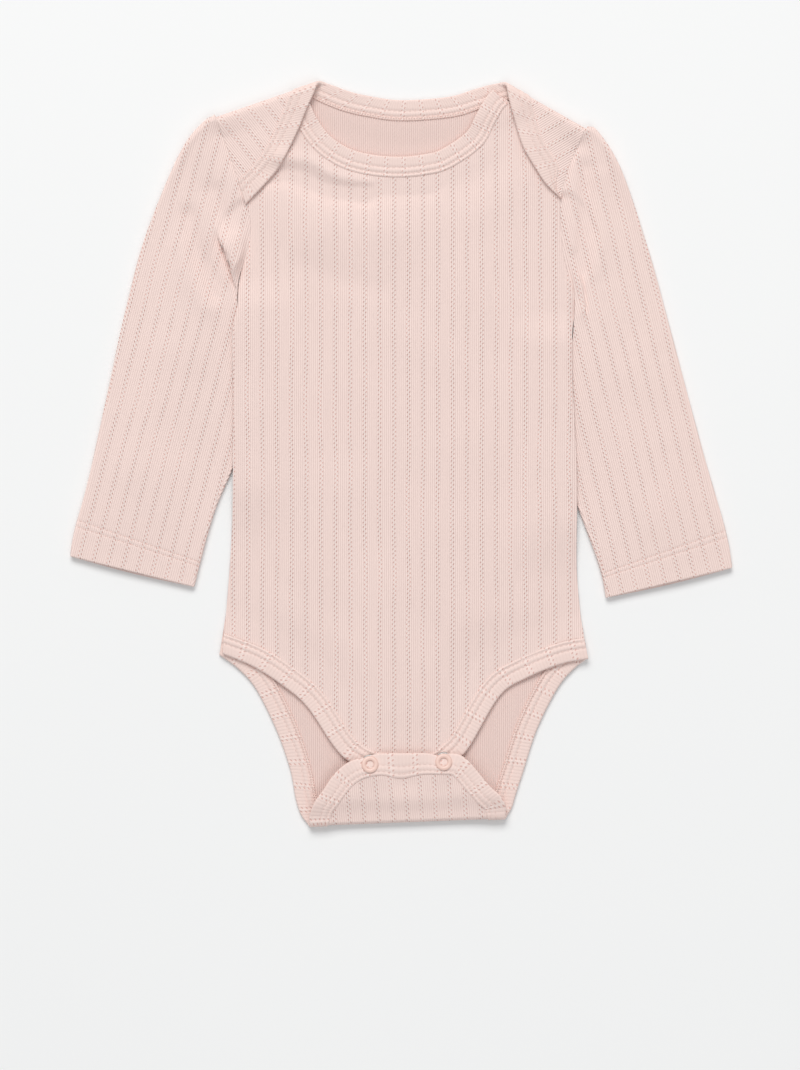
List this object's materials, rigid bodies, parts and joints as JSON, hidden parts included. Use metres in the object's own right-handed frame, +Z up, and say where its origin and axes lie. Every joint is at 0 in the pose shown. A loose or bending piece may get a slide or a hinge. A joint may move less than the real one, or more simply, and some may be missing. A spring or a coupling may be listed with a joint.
{
  "type": "baby bodysuit",
  "caption": "Long-sleeved baby bodysuit in pointelle knit with lap shoulders, bound neck and legs and ring snaps at the crotch, laid flat.",
  "frame": {"origin": "on the surface it lies on, under the middle of the garment's outline", "axes": "+Y from crotch to neck, +X to the right as seen from above with the front facing up, +Z up from the surface"},
  "size_m": [0.3828, 0.4314, 0.0098],
  "materials": {
    "knit": "matte cotton pointelle knit",
    "binding_knit": "matte cotton rib strip",
    "snap_cap": "satin enamel on a metal ring",
    "snap_metal": "bright nickel plate"
  },
  "bodies": {
    "root": {"front": "knit", "back": "knit", "sleeve_left": "knit", "sleeve_right": "knit", "front_neck_binding": "binding_knit", "back_neck_binding": "binding_knit", "front_leg_binding": "binding_knit", "back_leg_binding": "binding_knit", "snap_left_cap": "snap_cap", "snap_left_socket": "snap_metal", "snap_left_stud": "snap_metal", "snap_left_back_ring": "snap_metal", "snap_right_cap": "snap_cap", "snap_right_socket": "snap_metal", "snap_right_stud": "snap_metal", "snap_right_back_ring": "snap_metal"}
  },
  "joints": []
}
